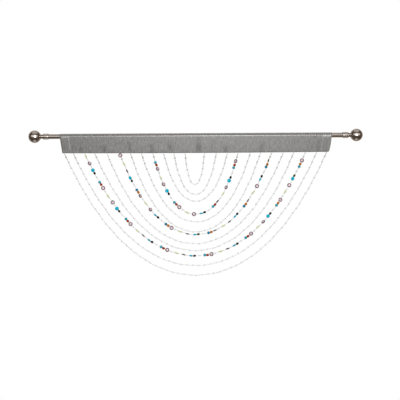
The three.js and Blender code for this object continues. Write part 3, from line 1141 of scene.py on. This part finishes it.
class BeadOperator:
    """What the operators for clear and for coloured beads share."""

    def gather(self, context, kind):
        """Places, axes, letters, swags and painted shade opacities of all beads of a kind."""
        beads = context.scene.valance_beads
        places, axes, letters, orders, painted_shade_opacities = [], [], [], [], []
        for string in hanging_strings(context):
            rows = [(at, letter) for name, at, letter in string.all_beads() if name == kind]
            if not rows:
                continue
            along = np.array([at for at, _ in rows])
            if kind.endswith("coin"):
                turn = np.array([COIN_TURNS[letter] for _, letter in rows])
                turn = turn + COIN_SWAY * np.sin(370 * along + string.order)
            else:
                turn = BEAD_TWIST * np.arange(len(rows)) + string.order
            at, frame_axes = string.frames(along, turn)
            places.append(at)
            axes.append(frame_axes)
            letters += [letter for _, letter in rows]
            orders += [string.order] * len(rows)
            # Painted shade: clear beads grow more opaque, so darker, on steep stretches and near the
            # roots
            steep = np.abs(frame_axes[:, 2, 0])
            near_root = np.exp(-np.minimum(along, string.length - along) / beads.painted_shade_reach)
            painted_shade_opacities.append(beads.cloud + beads.steep_painted_shade * steep + beads.root_painted_shade * near_root)
        return np.concatenate(places), np.concatenate(axes), letters, orders, np.concatenate(painted_shade_opacities)

    def string_up(self, context, name, kind, shape, material, shades=None):
        """Joins a kind's beads into one piece, each in the colour that shades gives its letter."""
        places, axes, letters, orders, painted_shade_opacities = self.gather(context, kind)
        size = len(shape.points)
        attributes = []
        if shades:
            own = [(*shades(letter, order), 1.0) for letter, order in zip(letters, orders)]
            attributes.append(("bead_colour", "FLOAT_COLOR", "color", np.repeat(own, size, axis=0)))
        # The rim share drives the mauve coin's painted shade
        if kind == "mauve_coin":
            reach = np.hypot(shape.points[:, 0], shape.points[:, 1])
            attributes.append(("rim", "FLOAT", "value", np.tile(reach / reach.max(), len(places))))
        # Clear beads carry their painted shade opacity
        if kind in CLEAR_KINDS:
            attributes.append(("cloud", "FLOAT", "value", np.repeat(painted_shade_opacities, size)))
        piece = join_copies(name, shape, places, axes, attributes)
        hand_over(piece, material)


class VALANCE_OT_clear_beads(BeadOperator, bpy.types.Operator):
    """String the clear beads, seeds and bugles"""

    bl_idname = "valance.clear_beads"
    bl_label = "Clear beads"

    def execute(self, context):
        beads = context.scene.valance_beads
        faceted = clear_glass("clear_crystal", beads.clear, beads.crystal_alpha)
        thin = clear_glass("clear_bugle", beads.clear, beads.bugle_alpha)
        self.string_up(context, "clear_beads", "clear", round_bead("clear", 8, 6, False), faceted)
        self.string_up(context, "seed_beads", "seed", round_bead("seed", 6, 4, True), thin)
        self.string_up(context, "bugle_beads", "bugle", bugle_bead(), thin)
        return {"FINISHED"}


class VALANCE_OT_coloured_beads(BeadOperator, bpy.types.Operator):
    """String the coloured coins and ovals"""

    bl_idname = "valance.coloured_beads"
    bl_label = "Coloured beads"

    def execute(self, context):
        beads = context.scene.valance_beads
        warm = {"r": beads.red, "o": beads.orange}
        rounds = [beads.turquoise_pale] * len(SWAGS)
        rounds[BLUER_SWAG] = beads.turquoise_deep
        # Kind, name of its glass, depth of the streaks, opacity, and colour by letter and swag
        rows = [
            ("turquoise_coin", "turquoise_stone", 0.22, 1.0, lambda letter, order: beads.turquoise),
            ("turquoise_round", "turquoise_bead", 0.18, 1.0, lambda letter, order: rounds[order]),
            ("warm_oval", "warm_glass", 0.2, 0.95, lambda letter, order: warm[letter]),
            ("dark_oval", "dark_glass", 0.3, 1.0, lambda letter, order: DARK_SHADES[letter]),
            ("green_oval", "green_glass", 0.15, 0.7, lambda letter, order: beads.green),
        ]
        self.string_up(context, "mauve_coins", "mauve_coin", coin_bead("mauve_coin"), mauve_shell(beads))
        for kind, glass, marks, alpha, shades in rows:
            sides = BEAD_SIDES.get(kind)
            shape = round_bead(kind, *sides, True) if sides else coin_bead(kind)
            self.string_up(context, kind + "s", kind, shape, coloured_glass(glass, marks, alpha), shades)
        return {"FINISHED"}


class VALANCE_OT_stage(bpy.types.Operator):
    """Set the floor, the light and the camera"""

    bl_idname = "valance.stage"
    bl_label = "Stage"

    def make_floor(self, stage):
        start_piece()
        bpy.ops.mesh.primitive_plane_add(size=2 * stage.floor_half, location=(0, 0, stage.floor_z))
        floor = bpy.context.object
        floor.name = "studio_floor"
        bpy.ops.object.transform_apply(location=True)
        floor.data.materials.append(plain_floor(stage.floor_half))
        floor.visible_glossy = False

    def light_studio(self, stage):
        """A wide light in front, a pale room behind and overhead, and dim warm sides between.

        What the camera itself sees behind the object is plain white.
        """
        world = bpy.data.worlds.new("studio")
        world.use_nodes = True
        bpy.context.scene.world = world
        nodes = Nodes(world.node_tree)
        x, y, z = nodes.parts(nodes.add("ShaderNodeTexCoord", output=0))
        wide = x / stage.front_width
        high = (z - stage.front_rise) / stage.front_height
        eye = 1 - nodes.rise(wide * wide + high * high, 0.75, 1.15)
        front = eye * nodes.rise(0 - y, 0.0, 0.2) * stage.front_light
        rear = nodes.rise(y, 0.2, 0.5) * stage.rear_light
        top = nodes.rise(z, 0.68, 0.93) * stage.top_light
        under = nodes.rise(0 - z, 0.9, 0.97) * stage.under_light
        ends = top + under + stage.dim_light
        lit = nodes.math("MAXIMUM", nodes.math("MAXIMUM", front, rear), ends)
        shown = nodes.add("ShaderNodeLightPath")
        brightness = shown + (1 - shown) * lit
        tint = nodes.blend(nodes.rise(lit, 0.05, 1.1), WARM, WHITE)
        shown_tint = nodes.blend(shown, tint, WHITE)
        sky = nodes.add("ShaderNodeBackground", None, {"Color": shown_tint, "Strength": brightness})
        nodes.add("ShaderNodeOutputWorld", None, {"Surface": sky})

    def add_lamp(self, name, power, lamp):
        """A rectangular lamp that shines down, or level into the scene where it is tilted up."""
        light = bpy.data.lights.new(name, "AREA")
        light.energy = power
        light.shape = "RECTANGLE"
        light.size, light.size_y = lamp.size
        holder = bpy.data.objects.new(name, light)
        holder.matrix_world = Matrix.Translation(lamp.place) @ Matrix.Rotation(lamp.tilt, 4, "X")
        bpy.context.scene.collection.objects.link(holder)
        return holder

    def add_lamps(self, stage):
        """A lamp beside the camera, in which the cloth shines, and soft ones above and behind."""
        self.add_lamp("key_light", stage.key_light, KEY_LAMP)
        above = self.add_lamp("over_light", stage.over_light, OVER_LAMP)
        behind = self.add_lamp("back_light", stage.back_light, BACK_LAMP)
        for soft in (above, behind):
            soft.visible_glossy = False

    def place_camera(self, stage):
        """Straight on, framed so that the rod's middle falls on its pixel."""
        lens = bpy.data.cameras.new("camera")
        width = stage.picture * stage.pixel
        lens.lens = lens.sensor_width * stage.distance / width
        camera = bpy.data.objects.new("camera", lens)
        bpy.context.scene.collection.objects.link(camera)
        x = (stage.picture / 2 - stage.rod_middle_x) * stage.pixel
        z = (stage.rod_middle_y - stage.picture / 2) * stage.pixel
        turn = Matrix.Rotation(math.pi / 2, 4, "X") @ Matrix.Rotation(-stage.roll, 4, "Z")
        camera.matrix_world = Matrix.Translation((x, -stage.distance, z)) @ turn
        bpy.context.scene.camera = camera

    def execute(self, context):
        stage = context.scene.valance_stage
        self.make_floor(stage)
        self.light_studio(stage)
        self.add_lamps(stage)
        self.place_camera(stage)
        context.scene.view_settings.view_transform = "Standard"
        return {"FINISHED"}


class VALANCE_PT_panel(bpy.types.Panel):
    """Sizes, colours and the pieces in the order they are made"""

    bl_label = "Beaded valance"
    bl_idname = "VALANCE_PT_panel"
    bl_space_type = "VIEW_3D"
    bl_region_type = "UI"
    bl_category = "Valance"

    def draw(self, context):
        for operator in OPERATORS:
            self.layout.operator(operator.bl_idname)
        for name in SETTINGS:
            group = getattr(context.scene, name)
            box = self.layout.box()
            for setting in group.bl_rna.properties.keys():
                if setting not in ("rna_type", "name"):
                    box.prop(group, setting)


SETTINGS = {
    "valance_metal": ValanceMetal,
    "valance_cloth": ValanceCloth,
    "valance_beads": ValanceBeads,
    "valance_stage": ValanceStage,
}
OPERATORS = [
    VALANCE_OT_stage,
    VALANCE_OT_rod,
    VALANCE_OT_finials,
    VALANCE_OT_heading,
    VALANCE_OT_stitching,
    VALANCE_OT_strings,
    VALANCE_OT_clear_beads,
    VALANCE_OT_coloured_beads,
]


def register():
    for group in SETTINGS.values():
        bpy.utils.register_class(group)
    for operator in OPERATORS:
        bpy.utils.register_class(operator)
    bpy.utils.register_class(VALANCE_PT_panel)
    for name, group in SETTINGS.items():
        setattr(bpy.types.Scene, name, PointerProperty(type=group))


def unregister():
    for name in SETTINGS:
        delattr(bpy.types.Scene, name)
    bpy.utils.unregister_class(VALANCE_PT_panel)
    for operator in reversed(OPERATORS):
        bpy.utils.unregister_class(operator)
    for group in SETTINGS.values():
        bpy.utils.unregister_class(group)


def main():
    register()
    bpy.ops.valance.stage()
    bpy.ops.valance.rod()
    bpy.ops.valance.finials()
    bpy.ops.valance.heading()
    bpy.ops.valance.stitching()
    bpy.ops.valance.strings()
    bpy.ops.valance.clear_beads()
    bpy.ops.valance.coloured_beads()


if __name__ == "__main__":
    main()
